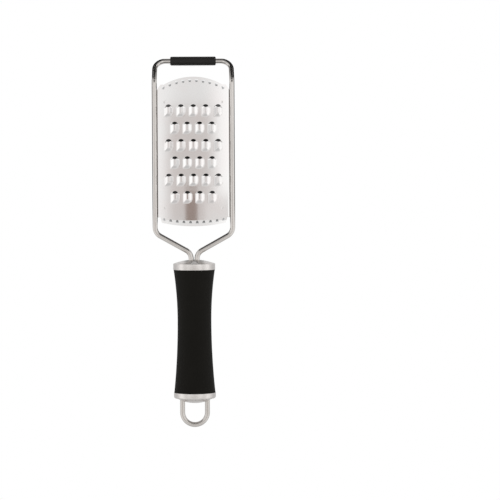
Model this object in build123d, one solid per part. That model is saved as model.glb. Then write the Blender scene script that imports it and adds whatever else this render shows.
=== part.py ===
from build123d import *
import os
from math import asin, cos, degrees, radians, sin, sqrt, tan

# A rasp zester lying on its back: the toothed face looks up along +Z, the foot bar points along +Y and
# the hanging loop along -Y. The table is z = 0 and the origin is the middle of the length, in millimetres.

# Frame wire
wire_diameter = 4.3
frame_width = 69.6
tang_spacing = 5.0
tang_depth = 62.0
tang_flat_length = 12.0
tang_flat_run = 4.0
tang_flat_thickness = 3.0
tang_flat_height = 5.6
leg_length = 5.6
neck_rise = 16.8
side_length = 128.7
foot_reach = 16.9
leg_bend_radius = 6.0
shoulder_bend_radius = 8.5
foot_bend_radius = 9.0
foot_corner_radius = 8.0

# Foot sleeve
sleeve_diameter = 7.5
sleeve_length = 38.6
sleeve_chamfer = 0.7

# Handle
cap_diameter = 35.4
cap_wall = 0.6
front_band_length = 5.1
front_dome_height = 3.3
rear_band_length = 4.4
rear_dome_height = 4.6
rear_rim_radius = 1.6
rear_step = 0.5
grip_length = 103.8
grip_setback = 0.3
grip_waist_share = 0.819
grip_waist_reach = 43.2
grip_edge_radius = 0.5
soft_thickness = 2.2

# Hanging loop
loop_wire_diameter = 4.2
loop_spacing_share = 0.593
loop_reach = 20.5
loop_tang_depth = 12.0

# Grating plate
sheet_thickness = 0.5
crown_rise = 3.12
edge_height = 1.48
edge_bend_share = 1.08
hem_angle = 75.0
plate_offset = 13.4
hem_length = 106.9
tongue_inset = 2.35
tongue_taper = 1.1
tongue_length = 4.5
tongue_bow = 3.0
shoulder_inset = 3.05
shoulder_length = 4.8
arch_inset = 2.8
arch_rise = 6.5

# Small holes along both plate ends
edge_hole_count = 10
edge_hole_pitch_share = 0.1839
edge_hole_inset = 3.3
edge_hole_width = 2.5
edge_hole_narrow_width = 1.3
edge_hole_height = 2.1
top_hole_arc_radius = 56.0
bottom_hole_arc_radius = 133.0

# Hooded teeth
tooth_rows = 6
wide_row_teeth = 5
tooth_pitch_share = 0.3425
row_pitch = 14.56
first_row_offset = 21.1
mouth_width = 4.7
mouth_height = 2.4
hood_width = 7.4
hood_length = 9.1
hood_height = 2.0
hood_shoulder = 1.7
hood_corner_radius = 4.0
hood_slope = 37.0
hood_crest_radius = 1.2

# Fits
fit_gap = 0.05
hole_gap = 0.15
overrun = 1.0

# Places along the length, from the loop's end to the sleeve's front
total_length = (
    loop_reach + rear_dome_height + rear_band_length + grip_length + front_band_length
    + front_dome_height + leg_length + neck_rise + side_length + foot_reach + sleeve_diameter / 2
)
loop_end_y = -total_length / 2
rear_apex_y = loop_end_y + loop_reach
rear_rim_y = rear_apex_y + rear_dome_height
grip_rear_y = rear_rim_y + rear_band_length
grip_front_y = grip_rear_y + grip_length
front_rim_y = grip_front_y + front_band_length
front_apex_y = front_rim_y + front_dome_height
leg_corner_y = front_apex_y + leg_length
shoulder_y = leg_corner_y + neck_rise
foot_corner_y = shoulder_y + side_length
foot_bar_y = foot_corner_y + foot_reach

# Heights and half widths
cap_radius = cap_diameter / 2
axis_z = cap_radius
foot_bar_z = sleeve_diameter / 2
side_x = (frame_width - wire_diameter) / 2
tang_x = tang_spacing / 2
loop_x = cap_radius * loop_spacing_share
wire_radius = wire_diameter / 2
grip_end_radius = cap_radius - grip_setback
grip_waist_radius = grip_end_radius * grip_waist_share

# The hem wraps the inner side of each frame wire
hem_inner_radius = wire_radius + fit_gap
hem_outer_radius = hem_inner_radius + sheet_thickness
plate_x = side_x - hem_inner_radius
edge_bend_radius = edge_height * edge_bend_share
crown_radius = (plate_x**2 + crown_rise**2) / (2 * crown_rise)
crown_height = edge_height + crown_rise
crown_z = axis_z + crown_height
crown_centre_z = crown_z - crown_radius
tooth_pitch = plate_x * tooth_pitch_share
edge_hole_pitch = plate_x * edge_hole_pitch_share

hem_bottom_y = shoulder_y + plate_offset
hem_top_y = hem_bottom_y + hem_length
tongue_y = hem_bottom_y - tongue_length
plate_bottom_y = tongue_y - tongue_bow
shoulder_top_y = hem_top_y + shoulder_length
plate_top_y = shoulder_top_y + arch_rise


def crown_height_at(x, radius):
    """Height of a crown arc of the given radius over the place x."""
    return crown_centre_z + sqrt(radius**2 - x**2)


def on_axis(shape):
    """Lift a shape made round the world Y axis to the handle's axis."""
    return Pos(0, 0, axis_z) * shape


def rod(path, diameter):
    """Round rod along a path."""
    section = Plane(origin=path @ 0, z_dir=path % 0) * Circle(diameter / 2)
    return sweep(section, path=path)


def tang_flat(grow):
    """Coined end of a tang, flattened sideways so that it locks in the core."""
    round_y = grip_front_y - tang_depth + tang_flat_length
    flat_y = round_y - tang_flat_run
    end_y = round_y - tang_flat_length
    round_section = Circle(wire_radius + grow)
    flat_section = Ellipse(tang_flat_thickness / 2 + grow, tang_flat_height / 2 + grow)
    sideways = Plane(origin=(0, 0, 0), x_dir=(1, 0, 0), z_dir=(0, -1, 0))
    taper = loft([
        Plane(origin=(0, round_y, 0), x_dir=(1, 0, 0), z_dir=(0, -1, 0)) * round_section,
        Plane(origin=(0, flat_y, 0), x_dir=(1, 0, 0), z_dir=(0, -1, 0)) * flat_section,
    ])
    blade = extrude(sideways.offset(-flat_y) * flat_section, flat_y - end_y + grow)
    return taper + blade


def frame_rod(grow):
    """Bent frame rod with both coined tangs, thickened by grow on every side."""
    tang_y = grip_front_y - tang_depth + tang_flat_length
    half = [
        (tang_x, tang_y, axis_z),
        (tang_x, leg_corner_y, axis_z),
        (side_x, shoulder_y, axis_z),
        (side_x, foot_corner_y, axis_z),
        (side_x, foot_bar_y, foot_bar_z),
    ]
    radii = [leg_bend_radius, shoulder_bend_radius, foot_bend_radius, foot_corner_radius]
    points = half + [(-x, y, z) for x, y, z in reversed(half)]
    path = FilletPolyline(*points, radius=radii + radii[::-1])
    body = rod(path, wire_diameter + 2 * grow)
    for side in (-1, 1):
        body += Pos(side * tang_x, 0, axis_z) * tang_flat(grow)
    return body


def foot_sleeve():
    """Rubber tube on the foot bar."""
    upright = Plane(origin=(-sleeve_length / 2, foot_bar_y, foot_bar_z), x_dir=(0, 1, 0), z_dir=(1, 0, 0))
    tube = extrude(upright * Circle(sleeve_diameter / 2), sleeve_length)
    ends = tube.faces().sort_by(Axis.X)
    tube = chamfer([ends[0].edges()[0], ends[-1].edges()[0]], sleeve_chamfer)
    bore = extrude(
        upright.offset(-overrun) * Circle(wire_radius + fit_gap), sleeve_length + 2 * overrun
    )
    return tube - bore


def waisted_profile(front_y, rear_y, inset):
    """Half section of the drawn-in grip, inset from its outer face."""
    waist_y = grip_front_y - grip_waist_reach
    end_radius = grip_end_radius - inset
    waist_radius = grip_waist_radius - inset
    front = TangentArc((waist_radius, waist_y), (end_radius, front_y), tangent=(0, 1))
    rear = TangentArc((waist_radius, waist_y), (end_radius, rear_y), tangent=(0, -1))
    close = Polyline((end_radius, front_y), (0, front_y), (0, rear_y), (end_radius, rear_y))
    return make_face([front, rear, close])


def grip():
    """Soft sleeve, moulded over the core."""
    sleeve = revolve(waisted_profile(grip_front_y, grip_rear_y, 0), Axis.Y)
    rims = sleeve.edges().filter_by(GeomType.CIRCLE).sort_by(Axis.Y)
    sleeve = fillet([rims[0], rims[-1]], grip_edge_radius)
    inside = revolve(waisted_profile(grip_front_y, grip_rear_y, soft_thickness), Axis.Y)
    return on_axis(sleeve - inside)


def loop_rod(grow):
    """Hanging loop, thickened by grow on every side."""
    inner_y = grip_rear_y + loop_tang_depth + grow
    arc_y = loop_end_y + loop_x + loop_wire_diameter / 2
    left = Line((-loop_x, inner_y, axis_z), (-loop_x, arc_y, axis_z))
    turn = ThreePointArc((-loop_x, arc_y, axis_z), (0, arc_y - loop_x, axis_z), (loop_x, arc_y, axis_z))
    right = Line((loop_x, arc_y, axis_z), (loop_x, inner_y, axis_z))
    return rod(Wire([left, turn, right]), loop_wire_diameter + 2 * grow)


def grip_core():
    """Hard core with a flange in each cap, moulded round the tangs and bored for the loop."""
    flange_radius = cap_radius - cap_wall - fit_gap
    body = revolve(waisted_profile(grip_front_y, grip_rear_y, soft_thickness + fit_gap), Axis.Y)
    front = Plane(origin=(0, grip_front_y, 0), z_dir=(0, 1, 0)) * Circle(flange_radius)
    rear = Plane(origin=(0, grip_rear_y, 0), z_dir=(0, -1, 0)) * Circle(flange_radius)
    body += extrude(front, front_band_length - cap_wall)
    body += extrude(rear, rear_band_length - cap_wall)
    return on_axis(body) - frame_rod(fit_gap) - loop_rod(fit_gap)


def dome_arc(radius, rim_y, apex_y):
    """Arc of a dome's half section, from its rim to the axis."""
    return TangentArc((0, apex_y), (radius, rim_y), tangent=(1, 0))


def front_cap():
    """Domed ferrule with a slot for both tangs."""
    inner_radius = cap_radius - cap_wall
    outer = make_face([
        dome_arc(cap_radius, front_rim_y, front_apex_y),
        Polyline(
            (cap_radius, front_rim_y), (cap_radius, grip_front_y), (0, grip_front_y), (0, front_apex_y)
        ),
    ])
    inner = make_face([
        dome_arc(inner_radius, front_rim_y - cap_wall, front_apex_y - cap_wall),
        Polyline(
            (inner_radius, front_rim_y - cap_wall),
            (inner_radius, grip_front_y),
            (0, grip_front_y),
            (0, front_apex_y - cap_wall),
        ),
    ])
    shell = revolve(outer - inner, Axis.Y)
    slot = Plane(origin=(0, grip_front_y, 0), x_dir=(1, 0, 0), z_dir=(0, 1, 0)) * SlotCenterToCenter(
        tang_spacing, wire_diameter + 2 * hole_gap
    )
    return on_axis(shell - extrude(slot, front_apex_y - grip_front_y + overrun))


def rear_cap():
    """Rounded end cap with a stepped dome and two holes for the loop."""
    inner_radius = cap_radius - cap_wall
    step_radius = cap_radius - rear_rim_radius
    step_y = rear_rim_y - rear_step
    rim_start = (cap_radius, rear_rim_y + rear_rim_radius - rear_step)
    outer = make_face([
        TangentArc(rim_start, (step_radius, step_y), tangent=(0, -1)),
        Line((step_radius, step_y), (step_radius, rear_rim_y)),
        dome_arc(step_radius, rear_rim_y, rear_apex_y),
        Polyline((0, rear_apex_y), (0, grip_rear_y), (cap_radius, grip_rear_y), rim_start),
    ])
    inner = make_face([
        dome_arc(step_radius, rear_rim_y + cap_wall, rear_apex_y + cap_wall),
        Polyline(
            (step_radius, rear_rim_y + cap_wall),
            (inner_radius, rear_rim_y + cap_wall),
            (inner_radius, grip_rear_y),
            (0, grip_rear_y),
            (0, rear_apex_y + cap_wall),
        ),
    ])
    shell = revolve(outer - inner, Axis.Y)
    bore = Plane(origin=(0, grip_rear_y, 0), z_dir=(0, -1, 0)) * Circle(loop_wire_diameter / 2 + hole_gap)
    drill = extrude(bore, grip_rear_y - rear_apex_y + overrun)
    return on_axis(shell - Pos(-loop_x, 0, 0) * drill - Pos(loop_x, 0, 0) * drill)


def sheet_section(inset, bend_radius):
    """Area under the crowned sheet, inset from its outer face."""
    half = plate_x - inset
    radius = crown_radius - inset
    edge_z = crown_height_at(half, radius)
    area = make_face([
        ThreePointArc((-half, edge_z), (0, crown_centre_z + radius), (half, edge_z)),
        Polyline((half, edge_z), (half, axis_z), (-half, axis_z), (-half, edge_z)),
    ])
    return fillet(area.vertices().sort_by(Axis.Y)[-2:], bend_radius)


def hem_section():
    """Strip of sheet rolled under the frame wire, on the +X side."""
    ring = Circle(hem_outer_radius) - Circle(hem_inner_radius)
    reach = 2 * hem_outer_radius
    tip = (-reach * cos(radians(hem_angle)), -reach * sin(radians(hem_angle)))
    wedge = make_face(Polyline((0, 0), (-reach, 0), (-reach, -reach), tip, (0, 0)))
    return Pos(side_x, axis_z) * (ring & wedge)


def plate_outline():
    """Plan of the plate: arched top, cut corners, hemmed sides and a shallow tongue."""
    shoulder_x = plate_x - shoulder_inset
    arch_x = shoulder_x - arch_inset
    tongue_x = plate_x - tongue_inset
    end_x = tongue_x - tongue_taper
    right = Polyline(
        (arch_x, shoulder_top_y),
        (shoulder_x, shoulder_top_y),
        (plate_x, hem_top_y),
        (side_x, hem_top_y),
        (side_x, hem_bottom_y),
        (tongue_x, hem_bottom_y),
        (end_x, tongue_y),
    )
    left = mirror(right, Plane.YZ)
    top = ThreePointArc((-arch_x, shoulder_top_y), (0, plate_top_y), (arch_x, shoulder_top_y))
    bottom = ThreePointArc((-end_x, tongue_y), (0, plate_bottom_y), (end_x, tongue_y))
    return make_face([top, right, bottom, left])


def edge_holes():
    """Cutters for the small trapezoid holes, their wide side towards the plate's ends."""
    half_wide = edge_hole_width / 2
    half_narrow = edge_hole_narrow_width / 2
    half_height = edge_hole_height / 2
    hole = make_face(Polyline(
        (-half_wide, half_height),
        (half_wide, half_height),
        (half_narrow, -half_height),
        (-half_narrow, -half_height),
        close=True,
    ))
    cutter = extrude(hole, crown_height + overrun)
    top_centre_y = plate_top_y - edge_hole_inset - top_hole_arc_radius
    bottom_centre_y = plate_bottom_y + edge_hole_inset + bottom_hole_arc_radius
    cutters = []
    for index in range(edge_hole_count):
        x = (index - (edge_hole_count - 1) / 2) * edge_hole_pitch
        top_y = top_centre_y + sqrt(top_hole_arc_radius**2 - x**2)
        bottom_y = bottom_centre_y - sqrt(bottom_hole_arc_radius**2 - x**2)
        cutters.append(Pos(x, top_y, axis_z) * cutter)
        cutters.append(Pos(x, bottom_y, axis_z) * Rot(0, 0, 180) * cutter)
    return cutters


def hood_blank():
    """Sharp form of one hood, its mouth centred on the origin and its ramp running to -Y."""
    half = hood_width / 2
    half_mouth = mouth_width / 2
    apex_y = half_mouth * hood_shoulder / (half - half_mouth)
    outline = make_face(Polyline(
        (0, apex_y),
        (half, -hood_shoulder),
        (half, -hood_length),
        (-half, -hood_length),
        (-half, -hood_shoulder),
        close=True,
    ))
    corner = outline.vertices().sort_by(Axis.Y)[:2].sort_by(Axis.X)[-1]
    outline = fillet(corner, hood_corner_radius)
    crest = offset(outline, -hood_height / tan(radians(hood_slope)), kind=Kind.INTERSECTION)
    return loft([outline.face(), (Pos(0, 0, hood_height) * crest).face()], ruled=True)


def ramp_side(hood):
    """Part of a hood on the ramp's side of its mouth."""
    keep = Box(2 * hood_width, 2 * hood_length, 2 * hood_width)
    return hood & Pos(0, -hood_length, 0) * keep


def mouth_cutter():
    """Lens-shaped cutter that opens the hood and the sheet below it."""
    half = mouth_width / 2
    rise = mouth_height / 2
    lens = make_face([
        ThreePointArc((-half, 0), (0, rise), (half, 0)),
        ThreePointArc((-half, 0), (0, -rise), (half, 0)),
    ])
    depth = hood_height + sheet_thickness + overrun
    return Pos(0, 0, -depth / 2) * extrude(lens, 2 * depth)


def tooth_places():
    """Frames on the crowned face, one for each tooth, square to the sheet."""
    places = []
    for row in range(tooth_rows):
        teeth = wide_row_teeth - 1 if row % 2 == 0 else wide_row_teeth
        y = hem_bottom_y + first_row_offset + row * row_pitch
        for column in range(teeth):
            x = (column - (teeth - 1) / 2) * tooth_pitch
            lean = degrees(asin(x / crown_radius))
            places.append(Pos(x, y, crown_height_at(x, crown_radius)) * Rot(0, lean, 0))
    return places


def grater_plate():
    """Crowned sheet with hemmed sides, hooded teeth and small edge holes."""
    upright = Plane(origin=(0, plate_top_y, 0), x_dir=(1, 0, 0), z_dir=(0, -1, 0))
    section = sheet_section(0, edge_bend_radius)
    section -= sheet_section(sheet_thickness, edge_bend_radius - sheet_thickness)
    hem = hem_section()
    section = section + hem + mirror(hem, Plane.YZ)
    sheet = extrude(upright * section, plate_top_y - plate_bottom_y)
    sheet &= extrude(plate_outline(), crown_z + overrun)
    blank = hood_blank()
    crest = blank.faces().sort_by(Axis.Z)[-1]
    hood = ramp_side(fillet(crest.edges(), hood_crest_radius))
    void = ramp_side(blank)
    mouth = mouth_cutter()
    places = tooth_places()
    seat = sheet_thickness / 2
    sink = sheet_thickness / cos(radians(hood_slope))
    sheet = sheet.fuse(*[place * Pos(0, 0, -seat) * hood for place in places])
    cutters = [place * Pos(0, 0, -seat - sink) * void for place in places]
    cutters += [place * mouth for place in places]
    return sheet.cut(*cutters, *edge_holes())


def save(name, shape):
    """Write one sub-part."""
    export_step(shape, f"parts/{name}.step")


os.makedirs("parts", exist_ok=True)
save("grater_plate", grater_plate())
save("frame_wire", frame_rod(0))
save("foot_sleeve", foot_sleeve())
save("front_cap", front_cap())
save("grip", grip())
save("grip_core", grip_core())
save("rear_cap", rear_cap())
save("hanging_loop", loop_rod(0))
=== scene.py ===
"""Looks of a rasp zester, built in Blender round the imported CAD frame.

Every length is in metres in the row frame: the tool lies on its back, the toothed face looks up
along +Z, the foot bar points along +Y and the hanging loop along -Y.
"""

import logging
import math
from collections.abc import Callable, Iterable, Iterator, Sequence
from contextlib import contextmanager
from dataclasses import dataclass, field
from enum import Enum

import bmesh
import bpy
import numpy as np
from mathutils import Matrix, Vector
from mathutils.geometry import delaunay_2d_cdt


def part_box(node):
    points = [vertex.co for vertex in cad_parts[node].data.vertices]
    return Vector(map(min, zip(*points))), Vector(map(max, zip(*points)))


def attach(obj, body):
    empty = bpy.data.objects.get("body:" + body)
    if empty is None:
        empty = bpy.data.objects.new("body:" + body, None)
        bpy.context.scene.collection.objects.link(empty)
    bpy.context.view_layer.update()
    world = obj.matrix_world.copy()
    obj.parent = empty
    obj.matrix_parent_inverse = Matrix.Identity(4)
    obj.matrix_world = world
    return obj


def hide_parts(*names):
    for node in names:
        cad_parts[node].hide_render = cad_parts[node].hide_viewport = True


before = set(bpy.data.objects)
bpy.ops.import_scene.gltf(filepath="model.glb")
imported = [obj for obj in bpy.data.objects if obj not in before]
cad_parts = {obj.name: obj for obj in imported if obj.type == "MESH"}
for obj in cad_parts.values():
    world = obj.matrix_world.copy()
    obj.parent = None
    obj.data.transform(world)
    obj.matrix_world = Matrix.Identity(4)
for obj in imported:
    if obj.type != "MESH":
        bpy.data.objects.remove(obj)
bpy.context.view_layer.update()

MM = 0.001
QUARTER = math.pi / 2
BODY = "root"
PICTURE_PIXELS = 500
WHITE = (1.0, 1.0, 1.0)
log = logging.getLogger("rasp_zester")

Point = tuple[float, float]
Triple = tuple[float, float, float]
Piece = bpy.types.Object
Material = bpy.types.Material
Socket = bpy.types.NodeSocket
Source = float | int | str | tuple | Socket | bpy.types.ID


# Node trees


class Graph:
    """Adds and joins the nodes of one tree."""

    def __init__(self, tree: bpy.types.NodeTree) -> None:
        """Start with the tree that the nodes go into."""
        self.tree = tree

    def add(
        self, kind: str, inputs: dict[str | int, Source] | None = None, **settings: object
    ) -> bpy.types.Node:
        """Add one node.

        Args:
            kind: Blender's name for the node's type.
            inputs: A value or a socket for each of its inputs, by name or by index.
            settings: The node's own properties.

        Returns:
            The new node.
        """
        node = self.tree.nodes.new(kind)
        for name, value in settings.items():
            setattr(node, name, value)
        for key, value in (inputs or {}).items():
            if isinstance(value, Socket):
                self.tree.links.new(value, node.inputs[key])
            else:
                node.inputs[key].default_value = value
        return node

    def math(self, operation: str, *values: Source, clamp: bool = False) -> Socket:
        """Combine one to three numbers; a clamped result is held between 0 and 1."""
        inputs = dict(enumerate(values))
        return self.add("ShaderNodeMath", inputs, operation=operation, use_clamp=clamp).outputs[0]

    def vector(self, operation: str, *values: Source) -> Socket:
        """Combine vectors."""
        inputs = dict(enumerate(values))
        return self.add("ShaderNodeVectorMath", inputs, operation=operation).outputs[0]

    def scaled(self, value: Source, factor: Source) -> Socket:
        """Scale a vector."""
        inputs = {0: value, "Scale": factor}
        return self.add("ShaderNodeVectorMath", inputs, operation="SCALE").outputs[0]

    def parts(self, value: Source) -> bpy.types.bpy_prop_collection:
        """Return a vector's X, Y and Z sockets."""
        return self.add("ShaderNodeSeparateXYZ", {0: value}).outputs

    def smooth_step(self, value: Source, low: float, high: float) -> Socket:
        """Ease a number from 0 at low to 1 at high."""
        inputs = {"Value": value, "From Min": low, "From Max": high}
        return self.add("ShaderNodeMapRange", inputs, interpolation_type="SMOOTHSTEP").outputs[0]


class MaterialGraph(Graph):
    """The tree of one new material."""

    def __init__(self, name: str) -> None:
        """Make the material and empty its tree, but for the Object coordinates.

        Args:
            name: The material's name.
        """
        self.material = bpy.data.materials.new(name)
        self.material.use_nodes = True
        super().__init__(self.material.node_tree)
        self.tree.nodes.clear()
        self.place = self.add("ShaderNodeTexCoord").outputs["Object"]

    def noise(self, place: Socket, scale: float, detail: float, roughness: float = 0.5) -> Socket:
        """Return a noise between 0 and 1."""
        inputs = {"Vector": place, "Scale": scale, "Detail": detail, "Roughness": roughness}
        return self.add("ShaderNodeTexNoise", inputs).outputs["Fac"]

    def plain(self, kind: str, colour: Triple, **values: float) -> Socket:
        """Return a plain shader of a colour."""
        return self.add(kind, {"Color": (*colour, 1.0), **values}).outputs[0]

    def mix(self, share: Source, first: Socket, second: Socket) -> Socket:
        """Mix two shaders."""
        return self.add("ShaderNodeMixShader", {0: share, 1: first, 2: second}).outputs[0]

    def finish(self, shader: Socket) -> Material:
        """Send a shader out and return the material."""
        self.add("ShaderNodeOutputMaterial", {"Surface": shader})
        return self.material


class GeometryGraph(Graph):
    """A Geometry Nodes tree with one geometry in and one out."""

    def __init__(self, name: str, sockets: dict[str, str]) -> None:
        """Make the tree.

        Args:
            name: The tree's name.
            sockets: The type of each further input, by the input's name.
        """
        super().__init__(bpy.data.node_groups.new(name, "GeometryNodeTree"))
        face = self.tree.interface
        for label, kind in {"Geometry": "Geometry", **sockets}.items():
            face.new_socket(label, in_out="INPUT", socket_type=f"NodeSocket{kind}")
        face.new_socket("Geometry", in_out="OUTPUT", socket_type="NodeSocketGeometry")
        self.given = self.add("NodeGroupInput").outputs

    def finish(self, geometry: Socket) -> None:
        """Realise what the tree made, give it its material and send it out.

        Args:
            geometry: What the tree made.
        """
        smooth = self.add("GeometryNodeSetShadeSmooth", {"Geometry": geometry}).outputs[0]
        real = self.add("GeometryNodeRealizeInstances", {"Geometry": smooth}).outputs[0]
        inputs = {"Geometry": real, "Material": self.given["Material"]}
        dressed = self.add("GeometryNodeSetMaterial", inputs).outputs[0]
        self.add("NodeGroupOutput", {"Geometry": dressed})

    def apply_to(self, piece: Piece, values: dict[str, Source]) -> None:
        """Put the tree on a piece, with its inputs set by their identifiers.

        Args:
            piece: The object that carries the seed geometry.
            values: What each named input is set to.
        """
        modifier = piece.modifiers.new(self.tree.name, "NODES")
        modifier.node_group = self.tree
        for item in self.tree.interface.items_tree:
            if item.in_out == "INPUT" and item.name in values:
                modifier[item.identifier] = values[item.name]


# Meshes


def new_piece(
    name: str, corners: Sequence, edges: Sequence = (), faces: Sequence = ()
) -> Piece:
    """Make a mesh object at the origin.

    Args:
        name: The object's name.
        corners: Its vertices, in metres.
        edges: Pairs of vertex numbers, for a mesh without faces.
        faces: Loops of vertex numbers.

    Returns:
        The object, linked to the scene.
    """
    mesh = bpy.data.meshes.new(name)
    mesh.from_pydata([tuple(corner) for corner in corners], list(edges), list(faces))
    mesh.validate()
    piece = bpy.data.objects.new(name, mesh)
    bpy.context.scene.collection.objects.link(piece)
    return piece


def discard(*helpers: Piece) -> None:
    """Remove helper objects that aren't part of the tool."""
    for helper in helpers:
        bpy.data.objects.remove(helper)


def settle(piece: Piece) -> None:
    """Turn what a piece's modifiers make into its plain mesh.

    Args:
        piece: The object with its modifiers set.
    """
    depsgraph = bpy.context.evaluated_depsgraph_get()
    shown = piece.evaluated_get(depsgraph)
    mesh = bpy.data.meshes.new_from_object(
        shown, preserve_all_data_layers=True, depsgraph=depsgraph
    )
    seed = piece.data
    piece.modifiers.clear()
    piece.data = mesh
    mesh.name = piece.name
    bpy.data.meshes.remove(seed)


def mark(piece: Piece, name: str, values: Sequence[float]) -> None:
    """Store a number at each of a piece's vertices, under a name."""
    layer = piece.data.attributes.new(name, "FLOAT", "POINT")
    layer.data.foreach_set("value", values)


@contextmanager
def opened(piece: Piece) -> Iterator[bmesh.types.BMesh]:
    """Open a piece's mesh for editing.

    Args:
        piece: The object whose mesh takes the changes.

    Yields:
        The mesh in its editable form.
    """
    shape = bmesh.new()
    shape.from_mesh(piece.data)
    yield shape
    shape.to_mesh(piece.data)
    shape.free()


def arc_points(
    centre: Point, radius: float, start: float, stop: float, steps: int
) -> list[Point]:
    """Sample an arc from a start to a stop angle, both ends included."""
    angles = np.linspace(start, stop, steps + 1)
    return [(centre[0] + radius * math.cos(a), centre[1] + radius * math.sin(a)) for a in angles]


def bow_radius(half_chord: float, rise: float) -> float:
    """Return the radius of a shallow arc."""
    return (half_chord**2 + rise**2) / (2 * rise)


class Axis(Enum):
    """The direction that a turned piece is turned about."""

    ALONG = "y"
    ACROSS = "x"


@dataclass(frozen=True)
class Turning:
    """A piece turned about a line along or across the tool."""

    axis: Axis
    height: float
    offset: float = 0.0
    steps: int = 160
    map_length: float = 20 * MM
    smallest_ring: float = 0.0001 * MM

    def place(self, radius: float, along: float, turn: int) -> Triple:
        """Carry a profile point round the axis.

        Args:
            radius: Its distance from the axis.
            along: Its place along the axis.
            turn: The step round the axis.

        Returns:
            The place.
        """
        angle = 2 * math.pi * turn / self.steps
        side, up = radius * math.sin(angle), self.height + radius * math.cos(angle)
        return (side, along, up) if self.axis is Axis.ALONG else (along, self.offset + side, up)

    def turn(self, name: str, profile: Sequence[Point], closed: bool) -> Piece:
        """Turn a profile into a mesh with a map that runs round the piece.

        Args:
            name: The object's name.
            profile: Pairs of radius and place along the axis.
            closed: Whether the profile is a loop, as on a tube; an open one starts and ends
                on the axis.

        Returns:
            The turned object, its faces outwards.
        """
        piece = new_piece(name, [])
        with opened(piece) as shape:
            turns = shape.loops.layers.uv.new("Turned")
            rings = []
            for radius, along in profile:
                if radius < self.smallest_ring:
                    rings.append([shape.verts.new(self.place(0.0, along, 0))] * self.steps)
                else:
                    places = (self.place(radius, along, turn) for turn in range(self.steps))
                    rings.append([shape.verts.new(place) for place in places])
            start = 0.0
            for index in range(len(profile) if closed else len(profile) - 1):
                following = (index + 1) % len(profile)
                stop = start + math.dist(profile[index], profile[following])
                near, far = (rings[index], start), (rings[following], stop)
                for step in range(self.steps):
                    corners: dict[bmesh.types.BMVert, Point] = {}
                    round_face = ((near, step), (near, step + 1), (far, step + 1), (far, step))
                    for (ring, length), turn in round_face:
                        spot = (turn / self.steps, length / self.map_length)
                        corners.setdefault(ring[turn % self.steps], spot)
                    face = shape.faces.new(list(corners))
                    for loop, spot in zip(face.loops, corners.values()):
                        loop[turns].uv = spot
                start = stop
            bmesh.ops.recalc_face_normals(shape, faces=shape.faces)
        return piece


def cut_away(piece: Piece, cutters: Iterable[Piece]) -> None:
    """Cut closed shapes out of a piece, and discard them.

    Args:
        piece: The piece that keeps its name.
        cutters: The closed shapes.
    """
    cutters = list(cutters)
    for cutter in cutters:
        modifier = piece.modifiers.new("cut", "BOOLEAN")
        modifier.operation, modifier.solver, modifier.object = "DIFFERENCE", "EXACT", cutter
    settle(piece)
    discard(*cutters)


def rod_cutter(outline: Sequence[Point], start: float, stop: float) -> Piece:
    """Make a straight cutter along the tool.

    Args:
        outline: Its section, as pairs of x and z.
        start: Its first end's y.
        stop: Its second end's y.

    Returns:
        The closed cutter.
    """
    count = len(outline)
    corners = [(x, start, z) for x, z in outline] + [(x, stop, z) for x, z in outline]
    faces = [(i, (i + 1) % count, count + (i + 1) % count, count + i) for i in range(count)]
    faces += [range(count - 1, -1, -1), range(count, 2 * count)]
    cutter = new_piece("cutter", corners, faces=faces)
    with opened(cutter) as shape:
        bmesh.ops.recalc_face_normals(shape, faces=shape.faces)
    return cutter


# Finishes


@dataclass(frozen=True)
class Finish:
    """What all finishes share: two tints in soft patches over a fine relief."""

    name: str
    colour: Triple
    patch_colour: Triple
    roughness: float
    roughness_spread: float
    relief_depth: float

    def cover(
        self,
        graph: MaterialGraph,
        relief: Socket,
        patches: Socket,
        edges: Point,
        drift: Socket,
        extras: dict[str, Source],
    ) -> Material:
        """Build the surface.

        Args:
            graph: The material's tree.
            relief: The noise of the relief.
            patches: The noise of the patches.
            edges: Where in that noise a patch begins and is full.
            drift: The noise that the roughness follows.
            extras: The shader's further inputs.

        Returns:
            The material.
        """
        share = graph.smooth_step(patches, *edges)
        tints = {0: share, 6: (*self.colour, 1.0), 7: (*self.patch_colour, 1.0)}
        colour = graph.add("ShaderNodeMix", tints, data_type="RGBA").outputs[2]
        drift = graph.math("SUBTRACT", drift, 0.5)
        roughness = graph.math("MULTIPLY_ADD", drift, self.roughness_spread, self.roughness)
        heights = {"Height": relief, "Distance": self.relief_depth, "Strength": 1.0}
        bump = graph.add("ShaderNodeBump", heights).outputs["Normal"]
        inputs = {"Base Color": colour, "Roughness": roughness, "Normal": bump, **extras}
        return graph.finish(graph.add("ShaderNodeBsdfPrincipled", inputs).outputs[0])


@dataclass(frozen=True)
class Steel(Finish):
    """Bare stainless steel with a directional grain."""

    anisotropy: float
    grain_scale: Triple
    map_name: str = ""
    cloud_scale: float = 45.0
    cloud_edges: Point = (0.35, 0.7)

    def material(self) -> Material:
        """Build the steel.

        Returns:
            The node material.
        """
        graph = MaterialGraph(self.name)
        stretch = {"Vector": graph.place, "Scale": self.grain_scale}
        stretched = graph.add("ShaderNodeMapping", stretch).outputs[0]
        grain = graph.noise(stretched, scale=1.0, detail=4.0, roughness=0.6)
        clouds = graph.noise(graph.place, self.cloud_scale, detail=2.0)
        extras = {"Metallic": 1.0, "Anisotropic": self.anisotropy}
        if self.map_name:
            tangent = graph.add("ShaderNodeTangent", direction_type="UV_MAP", uv_map=self.map_name)
            extras["Tangent"] = tangent.outputs[0]
        return self.cover(graph, grain, clouds, self.cloud_edges, grain, extras)


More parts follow.
